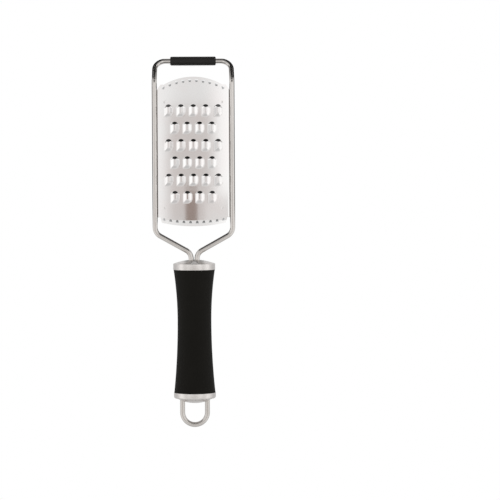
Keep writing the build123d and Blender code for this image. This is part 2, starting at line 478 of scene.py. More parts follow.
@dataclass(frozen=True)
class Moulding(Finish):
    """Moulded rubber or plastic with a fine even stipple."""

    shine: float
    stipple_scale: float
    handling_scale: float = 60.0
    handling_edges: Point = (0.4, 0.75)

    def material(self) -> Material:
        """Build the moulded finish.

        Returns:
            The node material.
        """
        graph = MaterialGraph(self.name)
        stipple = graph.noise(graph.place, self.stipple_scale, detail=3.0, roughness=0.55)
        handling = graph.noise(graph.place, self.handling_scale, detail=3.0)
        extras = {"Specular IOR Level": self.shine}
        return self.cover(graph, stipple, handling, self.handling_edges, handling, extras)


PLATE_STEEL = Steel(
    "rolled_sheet_steel",
    colour=(0.665, 0.655, 0.648),
    patch_colour=(0.662, 0.636, 0.628),
    roughness=0.075,
    roughness_spread=0.03,
    relief_depth=0.0008 * MM,
    anisotropy=0.8,
    grain_scale=(900.0, 22.0, 900.0),
    map_name="Rolled",
)
WIRE_STEEL = Steel(
    "polished_wire_steel",
    colour=(0.53, 0.505, 0.482),
    patch_colour=(0.50, 0.477, 0.455),
    roughness=0.11,
    roughness_spread=0.04,
    relief_depth=0.0001 * MM,
    anisotropy=0.0,
    grain_scale=(150.0, 150.0, 150.0),
)
CAP_STEEL = Steel(
    "turned_satin_steel",
    colour=(0.60, 0.573, 0.555),
    patch_colour=(0.57, 0.545, 0.527),
    roughness=0.32,
    roughness_spread=0.05,
    relief_depth=0.0006 * MM,
    anisotropy=0.2,
    grain_scale=(25.0, 1400.0, 25.0),
    map_name="Turned",
)
GRIP_RUBBER = Moulding(
    "soft_touch_rubber",
    colour=(0.0050, 0.0044, 0.0031),
    patch_colour=(0.0062, 0.0055, 0.0041),
    roughness=0.68,
    roughness_spread=0.16,
    relief_depth=0.03 * MM,
    shine=0.09,
    stipple_scale=1900.0,
)
FOOT_RUBBER = Moulding(
    "foot_rubber",
    colour=(0.0100, 0.0088, 0.0080),
    patch_colour=(0.0130, 0.0115, 0.0105),
    roughness=0.6,
    roughness_spread=0.16,
    relief_depth=0.04 * MM,
    shine=0.25,
    stipple_scale=1400.0,
)
CORE_PLASTIC = Moulding(
    "core_plastic",
    colour=(0.045, 0.045, 0.045),
    patch_colour=(0.055, 0.055, 0.055),
    roughness=0.5,
    roughness_spread=0.16,
    relief_depth=0.02 * MM,
    shine=0.4,
    stipple_scale=500.0,
)


# Places read from the frame


@dataclass(frozen=True)
class Layout:
    """Places and radii that the pieces share, measured on the CAD nodes."""

    axis_z: float
    cap_radius: float
    grip_front_y: float
    grip_rear_y: float
    rear_apex_y: float
    frame_half_width: float
    foot_bar_y: float
    foot_bar_z: float
    sleeve_radius: float
    sleeve_half_length: float
    loop_end_y: float
    loop_half_width: float
    plate_low_y: float
    plate_high_y: float

    @classmethod
    def read(cls) -> "Layout":
        """Measure the nodes.

        Returns:
            The shared places.
        """
        cap_low, cap_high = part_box("rear_cap")
        grip_low, grip_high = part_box("grip")
        sleeve_low, sleeve_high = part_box("foot_sleeve")
        loop_low, loop_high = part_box("hanging_loop")
        plate_low, plate_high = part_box("grater_plate")
        return cls(
            axis_z=(loop_low.z + loop_high.z) / 2,
            cap_radius=(cap_high.z - cap_low.z) / 2,
            grip_front_y=grip_high.y,
            grip_rear_y=grip_low.y,
            rear_apex_y=cap_low.y,
            frame_half_width=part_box("frame_wire")[1].x,
            foot_bar_y=(sleeve_low.y + sleeve_high.y) / 2,
            foot_bar_z=(sleeve_low.z + sleeve_high.z) / 2,
            sleeve_radius=(sleeve_high.z - sleeve_low.z) / 2,
            sleeve_half_length=(sleeve_high.x - sleeve_low.x) / 2,
            loop_end_y=loop_low.y,
            loop_half_width=loop_high.x,
            plate_low_y=plate_low.y,
            plate_high_y=plate_high.y,
        )


def keep(
    piece: Piece, node: str, crease: float = 50.0, material: Material | None = None
) -> None:
    """Shade a finished piece, hand it to the frame and report it.

    Args:
        piece: The finished object.
        node: The CAD node that it stands for.
        crease: How many degrees its faces turn at an edge that stays sharp.
        material: Its finish, where no node tree has set it.
    """
    if material:
        piece.data.materials.append(material)
    piece.data.shade_smooth()
    piece.data.set_sharp_from_angle(angle=math.radians(crease))
    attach(piece, BODY)
    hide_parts(node)
    log.info("%s: %d faces for %s", piece.name, len(piece.data.polygons), node)


# Wires


class BentWire(GeometryGraph):
    """A round rod along a cornered path, each corner bent to its own radius."""

    def __init__(self) -> None:
        """Build the tree, whose seed is a chain of edges with a bend radius at each corner."""
        sockets = {"Wire Radius": "Float", "Bend Steps": "Int", "Round Steps": "Int"}
        super().__init__("bent_wire", {**sockets, "Material": "Material"})
        given = self.given
        chain = self.add("GeometryNodeMeshToCurve", {"Mesh": given["Geometry"]})
        bend = self.add("GeometryNodeInputNamedAttribute", {"Name": "bend"}, data_type="FLOAT")
        bends = {
            "Curve": chain.outputs[0],
            "Count": given["Bend Steps"],
            "Radius": bend.outputs[0],
            "Limit Radius": True,
        }
        path = self.add("GeometryNodeFilletCurve", bends, mode="POLY").outputs[0]
        ring = {"Resolution": given["Round Steps"], "Radius": given["Wire Radius"]}
        section = self.add("GeometryNodeCurvePrimitiveCircle", ring, mode="RADIUS").outputs[0]
        sweep = {"Curve": path, "Profile Curve": section, "Fill Caps": True}
        self.finish(self.add("GeometryNodeCurveToMesh", sweep).outputs[0])

    def bend(
        self,
        name: str,
        corners: Sequence[Triple],
        bends: Sequence[float],
        radius: float,
        material: Material,
    ) -> Piece:
        """Bend one wire.

        Args:
            name: The piece's name.
            corners: Its path's ends and corners.
            bends: The centreline radius at each of them, zero at the ends.
            radius: The wire's radius.
            material: Its finish.

        Returns:
            The wire as a plain mesh.
        """
        links = [(index, index + 1) for index in range(len(corners) - 1)]
        piece = new_piece(name, corners, edges=links)
        mark(piece, "bend", bends)
        sizes = {"Wire Radius": radius, "Bend Steps": 20, "Round Steps": 40}
        self.apply_to(piece, {**sizes, "Material": material})
        settle(piece)
        return piece


@dataclass
class WireFrame:
    """The bent frame rod, from its coined tangs in the handle to the foot bar."""

    layout: Layout
    wires: BentWire
    material: Material
    wire_radius: float = 2.15 * MM
    tang_x: float = 2.5 * MM
    tang_depth: float = 62.0 * MM
    tang_flat_length: float = 12.0 * MM
    tang_flat_run: float = 4.0 * MM
    tang_flat_half: Point = (1.5 * MM, 2.8 * MM)
    ferrule_length: float = 8.4 * MM
    leg_length: float = 5.6 * MM
    neck_rise: float = 16.8 * MM
    foot_reach: float = 16.9 * MM
    foot_taper: float = 0.5 * MM
    bends: tuple[float, ...] = (8.0 * MM, 8.5 * MM, 9.0 * MM, 9.4 * MM)

    @property
    def side_x(self) -> float:
        """Half the distance between the two side wires' centrelines."""
        return self.layout.frame_half_width - self.wire_radius

    @property
    def shoulder_y(self) -> float:
        """Where the neck's slope meets the straight sides."""
        return self.layout.grip_front_y + self.ferrule_length + self.leg_length + self.neck_rise

    def build(self) -> None:
        """Bend the frame and flatten its tangs."""
        place = self.layout
        tang_end = place.grip_front_y - self.tang_depth
        coin_start = tang_end + self.tang_flat_length
        half = [
            (self.tang_x, tang_end, place.axis_z),
            (self.tang_x, coin_start - self.tang_flat_run, place.axis_z),
            (self.tang_x, coin_start, place.axis_z),
            (self.tang_x, self.shoulder_y - self.neck_rise, place.axis_z),
            (self.side_x, self.shoulder_y, place.axis_z),
            (self.side_x, place.foot_bar_y - self.foot_reach, place.axis_z),
            (self.side_x - self.foot_taper, place.foot_bar_y, place.foot_bar_z),
        ]
        bends = [0.0, 0.0, 0.0, *self.bends]
        corners = half + [(-x, y, z) for x, y, z in reversed(half)]
        piece = self.wires.bend(
            "frame_rod", corners, bends + bends[::-1], self.wire_radius, self.material
        )
        self._coin_tangs(piece, coin_start)
        keep(piece, "frame_wire")

    def _coin_tangs(self, piece: Piece, coin_start: float) -> None:
        """Flatten the hidden ends sideways, as a press leaves them.

        Args:
            piece: The bent rod.
            coin_start: The y at which the flattening begins.
        """
        flat_x, flat_z = (half / self.wire_radius - 1 for half in self.tang_flat_half)
        for vertex in piece.data.vertices:
            share = min(max((coin_start - vertex.co.y) / self.tang_flat_run, 0.0), 1.0)
            if share > 0.0:
                x, z = math.copysign(self.tang_x, vertex.co.x), self.layout.axis_z
                vertex.co.x = x + (vertex.co.x - x) * (1 + share * flat_x)
                vertex.co.z = z + (vertex.co.z - z) * (1 + share * flat_z)


@dataclass
class HangingLoop:
    """The U-shaped wire at the handle's end."""

    layout: Layout
    wires: BentWire
    material: Material
    wire_radius: float = 2.1 * MM
    tang_depth: float = 12.0 * MM

    @property
    def leg_x(self) -> float:
        """Half the distance between the two legs' centrelines."""
        return self.layout.loop_half_width - self.wire_radius

    def build(self) -> None:
        """Bend the loop."""
        place, radius, leg_x = self.layout, self.wire_radius, self.leg_x
        end_y, inner_y = place.loop_end_y + radius, place.grip_rear_y + self.tang_depth
        path = [(-leg_x, inner_y), (-leg_x, end_y), (leg_x, end_y), (leg_x, inner_y)]
        corners = [(x, y, place.axis_z) for x, y in path]
        bends = [0.0, leg_x, leg_x, 0.0]
        piece = self.wires.bend("loop_rod", corners, bends, radius, self.material)
        keep(piece, "hanging_loop")


# Handle


@dataclass
class Handle:
    """The grip, its two steel caps and the hidden core."""

    layout: Layout
    rod: WireFrame
    loop: HangingLoop
    cap_steel: Material
    rubber: Material
    core: Material
    cap_wall: float = 0.6 * MM
    front_band: float = 5.1 * MM
    front_dome: float = 3.3 * MM
    rear_band: float = 4.4 * MM
    rear_dome: float = 4.6 * MM
    rear_rim_radius: float = 1.6 * MM
    rear_step: float = 0.5 * MM
    edge_radius: float = 0.18 * MM
    grip_setback: float = 0.3 * MM
    grip_waist_share: float = 0.819
    grip_waist_reach: float = 43.2 * MM
    grip_edge_radius: float = 0.5 * MM
    soft_thickness: float = 2.2 * MM
    front_rim_lean: float = math.radians(65.0)
    slot_radius: float = 2.3 * MM
    loop_hole_radius: float = 2.25 * MM
    waist_points: int = 33
    dome_points: int = 25

    def build(self) -> None:
        """Turn the grip and both caps, and dress the core."""
        self._build_grip()
        self._build_front_cap()
        self._build_rear_cap()
        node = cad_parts["grip_core"]
        node.data.materials.clear()
        node.data.materials.append(self.core)
        log.info("grip_core: CAD node dressed")

    def _waist_curve(self, inset: float) -> list[Point]:
        """Sample the grip's two tangent arcs.

        Args:
            inset: How far the curve lies inside the outer face.

        Returns:
            Pairs of radius and y, from the front end to the rear end.
        """
        place = self.layout
        end = place.cap_radius - self.grip_setback - inset
        waist = (place.cap_radius - self.grip_setback) * self.grip_waist_share - inset
        waist_y = place.grip_front_y - self.grip_waist_reach
        points = []
        for end_y in (place.grip_front_y, place.grip_rear_y):
            run, side = abs(end_y - waist_y), math.copysign(1.0, end_y - waist_y)
            bow = bow_radius(run, end - waist)
            reach = np.linspace(0.0, run, self.waist_points)
            curve = [(waist + bow - math.sqrt(bow**2 - s**2), waist_y + side * s) for s in reach]
            points += curve[::-1] if side > 0 else curve[1:]
        return points

    def _turn(self, name: str, profile: Sequence[Point], closed: bool = False) -> Piece:
        """Turn a profile about the handle's axis."""
        return Turning(Axis.ALONG, self.layout.axis_z).turn(name, profile, closed)

    def _build_grip(self) -> None:
        """Turn the drawn-in rubber sleeve with rounded ends."""
        outer, inner = self._waist_curve(0.0), self._waist_curve(self.soft_thickness)
        radius = self.grip_edge_radius
        (front_r, front_y), (rear_r, rear_y) = outer[0], outer[-1]
        front = arc_points((front_r - radius, front_y - radius), radius, QUARTER, 0.0, 6)
        rear = arc_points((rear_r - radius, rear_y + radius), radius, 0.0, -QUARTER, 6)
        body = [point for point in outer if rear_y + radius < point[1] < front_y - radius]
        piece = self._turn("grip_sleeve", front + body + rear + inner[::-1], closed=True)
        keep(piece, "grip", crease=40.0, material=self.rubber)

    def _dome(self, radius: float, rim_y: float, apex_y: float) -> list[Point]:
        """Sample a dome's arc from its rim to the axis.

        Args:
            radius: The rim's radius.
            rim_y: Where the rim is.
            apex_y: Where the dome meets the axis.

        Returns:
            Pairs of radius and y.
        """
        ball, side = bow_radius(radius, abs(apex_y - rim_y)), math.copysign(1.0, apex_y - rim_y)
        centre_y = apex_y - side * ball
        angles = np.linspace(math.asin(radius / ball), 0.0, self.dome_points)
        return [(ball * math.sin(a), centre_y + side * ball * math.cos(a)) for a in angles]

    def _finish_cap(self, piece: Piece, cutters: list[Piece], node: str) -> None:
        """Cut a turned cap's openings and dress it.

        Args:
            piece: The turned cap.
            cutters: What is cut out of it.
            node: The CAD node that it stands for.
        """
        cut_away(piece, cutters)
        keep(piece, node, crease=28.0, material=self.cap_steel)

    def _build_front_cap(self) -> None:
        """Turn the plain ferrule and cut its slot for the two tangs."""
        radius, wall, edge = self.layout.cap_radius, self.cap_wall, self.edge_radius
        open_y = self.layout.grip_front_y
        rim_y = open_y + self.front_band
        apex_y = rim_y + self.front_dome
        outer = self._dome(radius, rim_y, apex_y)[::-1]
        rounded = [point for point in outer if point[0] < radius - edge]
        rim_middle = (radius - edge, rim_y - edge / 2)
        rounded += arc_points(rim_middle, edge, self.front_rim_lean, 0.0, 4)
        mouth = arc_points((radius - edge, open_y + edge), edge, 0.0, -QUARTER, 4)
        inner = [(radius - wall, open_y)] + self._dome(radius - wall, rim_y - wall, apex_y - wall)
        piece = self._turn("front_ferrule", rounded + mouth + inner)
        middle = (self.rod.tang_x, self.layout.axis_z)
        right = arc_points(middle, self.slot_radius, -QUARTER, QUARTER, 24)
        slot = right + [(-x, height) for x, height in reversed(right)]
        slot_cutter = rod_cutter(slot, rim_y - wall * 2, apex_y + wall * 2)
        self._finish_cap(piece, [slot_cutter], "front_cap")

    def _build_rear_cap(self) -> None:
        """Turn the stepped end cap and drill it for the loop."""
        radius, wall, edge = self.layout.cap_radius, self.cap_wall, self.edge_radius
        open_y, rim_radius = self.layout.grip_rear_y, self.rear_rim_radius
        rim_y = open_y - self.rear_band
        apex_y = rim_y - self.rear_dome
        step_radius = radius - rim_radius
        outer = self._dome(step_radius, rim_y, apex_y)[::-1]
        roll_middle = (step_radius, rim_y - self.rear_step + rim_radius)
        roll = arc_points(roll_middle, rim_radius, -QUARTER, 0.0, 12)
        mouth = arc_points((radius - edge, open_y - edge), edge, 0.0, QUARTER, 4)
        inner = [(radius - wall, open_y), (radius - wall, rim_y + wall)]
        inner += self._dome(step_radius, rim_y + wall, apex_y + wall)
        piece = self._turn("rear_end_cap", outer + roll + mouth + inner)
        drills = []
        for leg_x in (-self.loop.leg_x, self.loop.leg_x):
            middle = (leg_x, self.layout.axis_z)
            hole = arc_points(middle, self.loop_hole_radius, 0.0, 2 * math.pi, 40)[:-1]
            drills.append(rod_cutter(hole, apex_y - wall, rim_y + wall * 3))
        self._finish_cap(piece, drills, "rear_cap")


@dataclass
class FootSleeve:
    """The rubber tube on the foot bar."""

    layout: Layout
    rubber: Material
    bore_radius: float = 2.2 * MM
    chamfer: float = 0.7 * MM

    def build(self) -> None:
        """Turn the tube with chamfered ends."""
        place = self.layout
        radius, half = place.sleeve_radius, place.sleeve_half_length
        shoulder, lip = half - self.chamfer, radius - self.chamfer
        outer = [(lip, -half), (radius, -shoulder), (radius, shoulder), (lip, half)]
        profile = [*outer, (self.bore_radius, half), (self.bore_radius, -half)]
        turning = Turning(Axis.ACROSS, place.foot_bar_z, place.foot_bar_y, steps=96)
        piece = turning.turn("foot_tube", profile, closed=True)
        keep(piece, "foot_sleeve", crease=30.0, material=self.rubber)


# Grating plate


def triangulate(
    outline: Sequence[Point],
    holes: Sequence[Sequence[Point]],
    fill: Sequence[Point],
    is_open: Callable[[float, float], bool],
) -> tuple[list[Point], list[tuple[int, ...]]]:
    """Fill a flat outline with triangles.

    Args:
        outline: The outer loop, counter-clockwise.
        holes: Loops that the triangles have to follow.
        fill: Further points inside.
        is_open: Says whether a place lies in a hole.

    Returns:
        The corners and the triangles.
    """
    points = [Vector(point) for point in outline]
    edges = []
    for hole in holes:
        first = len(points)
        points += [Vector(point) for point in hole]
        edges += [(first + i, first + (i + 1) % len(hole)) for i in range(len(hole))]
    points += [Vector(point) for point in fill]
    loop = list(range(len(outline)))
    corners, _, faces, *_ = delaunay_2d_cdt(points, edges, [loop], 1, 1e-9)
    kept = []
    for face in faces:
        middle = sum((corners[index] for index in face), Vector((0.0, 0.0))) / len(face)
        if not is_open(middle.x, middle.y):
            kept.append(tuple(face))
    return [(corner.x, corner.y) for corner in corners], kept


@dataclass(frozen=True)
class Window:
    """A rectangle of the flat sheet that one punched form fills."""

    half_width: float
    low: float
    high: float
    pitch: float

    def grid(self) -> np.ndarray:
        """Return the points of the rectangle's own grid, its border included.

        Returns:
            Rows of x and y.
        """
        across = max(1, round(2 * self.half_width / self.pitch))
        along = max(1, round((self.high - self.low) / self.pitch))
        x = np.linspace(-self.half_width, self.half_width, across + 1)
        y = np.linspace(self.low, self.high, along + 1)
        return np.stack(np.meshgrid(x, y), axis=-1)

    def border(self) -> list[Point]:
        """Return the rectangle's border.

        Returns:
            The counter-clockwise loop.
        """
        grid = self.grid()
        loop = [*grid[0, :-1], *grid[:-1, -1], *grid[-1, :0:-1], *grid[:0:-1, 0]]
        return [(float(x), float(y)) for x, y in loop]

    def holds(self, x: float, y: float) -> bool:
        """Say whether a place lies inside the rectangle."""
        return abs(x) < self.half_width and self.low < y < self.high


@dataclass(frozen=True)
class Tooth:
    """One hooded tooth, flat sheet round it included, its mouth centred on the origin."""

    mouth_width: float = 4.6 * MM
    mouth_height: float = 2.4 * MM
    width: float = 7.4 * MM
    length: float = 9.1 * MM
    height: float = 1.95 * MM
    shoulder: float = 1.7 * MM
    corner_radius: float = 4.0 * MM
    slope: float = math.radians(35.5)
    front_steepness: float = 1.9
    crest_blend: float = 0.3 * MM
    mitre_blend: float = 0.6 * MM
    base_blend: float = 0.20 * MM
    rim_gap: float = 0.165 * MM
    window: Window = Window(4.6 * MM, -10.2 * MM, 2.1 * MM, 0.3 * MM)

    @property
    def mouth_bow(self) -> float:
        """The radius of the mouth's two arcs."""
        return bow_radius(self.mouth_width / 2, self.mouth_height / 2)

    def rise(self, x: np.ndarray, y: np.ndarray) -> np.ndarray:
        """Work out how far the hood stands above the flat sheet.

        Args:
            x: Places across the tooth.
            y: Places along it, negative down the ramp.

        Returns:
            The heights.
        """
        half, half_mouth = self.width / 2, self.mouth_width / 2
        apex = half_mouth * self.shoulder / (half - half_mouth)
        slant = math.hypot(half, apex + self.shoulder)
        flats = [half - x, half + x, y + self.length]
        for side in (-1, 1):
            front = ((apex - y) * half - side * x * (apex + self.shoulder)) / slant
            flats.append(front * self.front_steepness)
        inside = flats[0]
        for flat in flats[1:]:
            inside = self.blend(inside, flat, self.mitre_blend)
        corner_x, corner_y = half - self.corner_radius, self.corner_radius - self.length
        turned = self.corner_radius - np.hypot(x - corner_x, y - corner_y)
        in_corner = (x > corner_x) & (y < corner_y)
        inside = np.where(in_corner, self.blend(turned, half + x, self.mitre_blend), inside)
        climb = self.blend(inside * math.tan(self.slope), self.height, self.crest_blend)
        return np.where(y < 0, -self.blend(-climb, 0.0 * climb, self.base_blend), 0.0)

    @staticmethod
    def blend(first: np.ndarray, second: np.ndarray | float, reach: float) -> np.ndarray:
        """Take the lower of two heights, with a rounded change from one to the other."""
        overlap = np.maximum(reach - np.abs(first - second), 0.0)
        return np.minimum(first, second) - overlap**2 / (4 * reach)

    def mouth(self) -> list[Point]:
        """Return the lens-shaped mouth.

        Returns:
            The counter-clockwise loop.
        """
        bow = self.mouth_bow
        spread = math.asin(self.mouth_width / 2 / bow)
        middle = (0.0, self.mouth_height / 2 - bow)
        top = arc_points(middle, bow, QUARTER - spread, QUARTER + spread, 18)
        return top[:-1] + [(-x, -y) for x, y in top[:-1]]

    def in_mouth(self, x: float, y: float, margin: float = 0.0) -> bool:
        """Say whether a place lies in the mouth, or within a margin of it."""
        reach = math.hypot(x, abs(y) + self.mouth_bow - self.mouth_height / 2)
        return reach < self.mouth_bow + margin

    def patch(self) -> Piece:
        """Build the flat window with its hood and mouth.

        Returns:
            The helper object that the plate repeats.
        """
        inner = self.window.grid()[1:-1, 1:-1].reshape(-1, 2)
        fill = [(float(x), float(y)) for x, y in inner if not self.in_mouth(x, y, self.rim_gap)]
        corners, faces = triangulate(self.window.border(), [self.mouth()], fill, self.in_mouth)
        flat = np.array(corners)
        heights = self.rise(flat[:, 0], flat[:, 1])
        return new_piece("tooth_patch", np.column_stack([flat, heights]), faces=faces)


@dataclass(frozen=True)
class EdgeHole:
    """One small trapezoid hole, its wide side towards +y."""

    half_wide: float = 1.4 * MM
    half_narrow: float = 0.75 * MM
    half_height: float = 1.15 * MM
    corner_radius: float = 0.22 * MM
    corner_points: int = 5
    window: Window = Window(1.75 * MM, -1.6 * MM, 1.6 * MM, 0.5 * MM)

    def outline(self) -> list[Point]:
        """Return the hole with rounded corners.

        Returns:
            The counter-clockwise loop.
        """
        wide, narrow, high = self.half_wide, self.half_narrow, self.half_height
        ends = ((wide, high), (-wide, high), (-narrow, -high), (narrow, -high))
        corners = [Vector(end) for end in ends]
        loop = []
        for index, corner in enumerate(corners):
            before, after = corners[index - 1] - corner, corners[(index + 1) % 4] - corner
            start = corner + before.normalized() * self.corner_radius
            stop = corner + after.normalized() * self.corner_radius
            for share in np.linspace(0.0, 1.0, self.corner_points):
                point = start.lerp(corner, share).lerp(corner.lerp(stop, share), share)
                loop.append((point.x, point.y))
        return loop

    def is_open(self, x: float, y: float) -> bool:
        """Say whether a place lies in the hole.

        Args:
            x: The place across the hole.
            y: The place along it.

        Returns:
            Whether the sheet is cut away there.
        """
        share = (y + self.half_height) / (2 * self.half_height)
        half = self.half_narrow + share * (self.half_wide - self.half_narrow)
        return abs(y) < self.half_height and abs(x) < half

    def patch(self) -> Piece:
        """Build the flat window with its hole, for the plate to repeat."""
        corners, faces = triangulate(self.window.border(), [self.outline()], [], self.is_open)
        return new_piece("hole_patch", [(x, y, 0.0) for x, y in corners], faces=faces)


class PunchAndRoll(GeometryGraph):
    """Sets punched forms into a flat sheet, then rolls the sheet to a section."""

    map_scale = 8.0

    def __init__(self) -> None:
        """Build the tree, whose seed is the flat blank with a window for each form."""
        objects = ("Tooth", "Tooth Places", "Hole", "Hole Places", "Section")
        sizes = {"Half Section Length": "Float", "Weld Distance": "Float"}
        sockets = {**dict.fromkeys(objects, "Object"), **sizes, "Material": "Material"}
        super().__init__("punch_and_roll", sockets)
        given = self.given
        joined = self.add("GeometryNodeJoinGeometry", {"Geometry": given["Geometry"]})
        for form in ("Tooth", "Hole"):
            punched = self._repeat(given[form], given[f"{form} Places"])
            self.tree.links.new(punched, joined.inputs[0])
        weld = {"Geometry": joined.outputs[0], "Distance": given["Weld Distance"]}
        welded = self.add("GeometryNodeMergeByDistance", weld).outputs[0]
        flat_map = self.scaled(self.add("GeometryNodeInputPosition").outputs[0], self.map_scale)
        mapped = self.add(
            "GeometryNodeStoreNamedAttribute",
            {"Geometry": welded, "Name": "Rolled", "Value": flat_map},
            data_type="FLOAT2",
            domain="CORNER",
        )
        self.finish(self._roll(mapped.outputs[0]))

    def _repeat(self, form: Socket, places: Socket) -> Socket:
        """Put a form at each of its places, turned as the place says.

        Args:
            form: The object with the form.
            places: The object whose vertices mark the places.

        Returns:
            The forms.
        """
        shape = self.add("GeometryNodeObjectInfo", {"Object": form}).outputs["Geometry"]
        points = self.add("GeometryNodeObjectInfo", {"Object": places}).outputs["Geometry"]
        turn = self.add("GeometryNodeInputNamedAttribute", {"Name": "turn"}, data_type="FLOAT")
        upright = self.add("ShaderNodeCombineXYZ", {"Z": turn.outputs[0]}).outputs[0]
        inputs = {"Points": points, "Instance": shape, "Rotation": upright}
        placed = self.add("GeometryNodeInstanceOnPoints", inputs).outputs[0]
        return self.add("GeometryNodeRealizeInstances", {"Geometry": placed}).outputs[0]

    def _roll(self, sheet: Socket) -> Socket:
        """Carry each point from the flat sheet to the section at its distance from the middle.

        Args:
            sheet: The flat punched sheet.

        Returns:
            The rolled sheet.
        """
        flat = self.parts(self.add("GeometryNodeInputPosition").outputs[0])
        section = self.add("GeometryNodeObjectInfo", {"Object": self.given["Section"]})
        line = self.add("GeometryNodeMeshToCurve", {"Mesh": section.outputs["Geometry"]})
        length = self.math("ADD", flat["X"], self.given["Half Section Length"])
        sampled = {"Curves": line.outputs[0], "Length": length}
        on_line = self.add(
            "GeometryNodeSampleCurve", sampled, mode="LENGTH", use_all_curves=True
        ).outputs
        outward = self.vector("CROSS_PRODUCT", on_line["Tangent"], (0.0, 1.0, 0.0))
        raised = self.scaled(self.vector("NORMALIZE", outward), flat["Z"])
        along = self.add("ShaderNodeCombineXYZ", {"Y": flat["Y"]}).outputs[0]
        place = self.vector("ADD", self.vector("ADD", on_line["Position"], raised), along)
        moved = {"Geometry": sheet, "Position": place}
        return self.add("GeometryNodeSetPosition", moved).outputs[0]


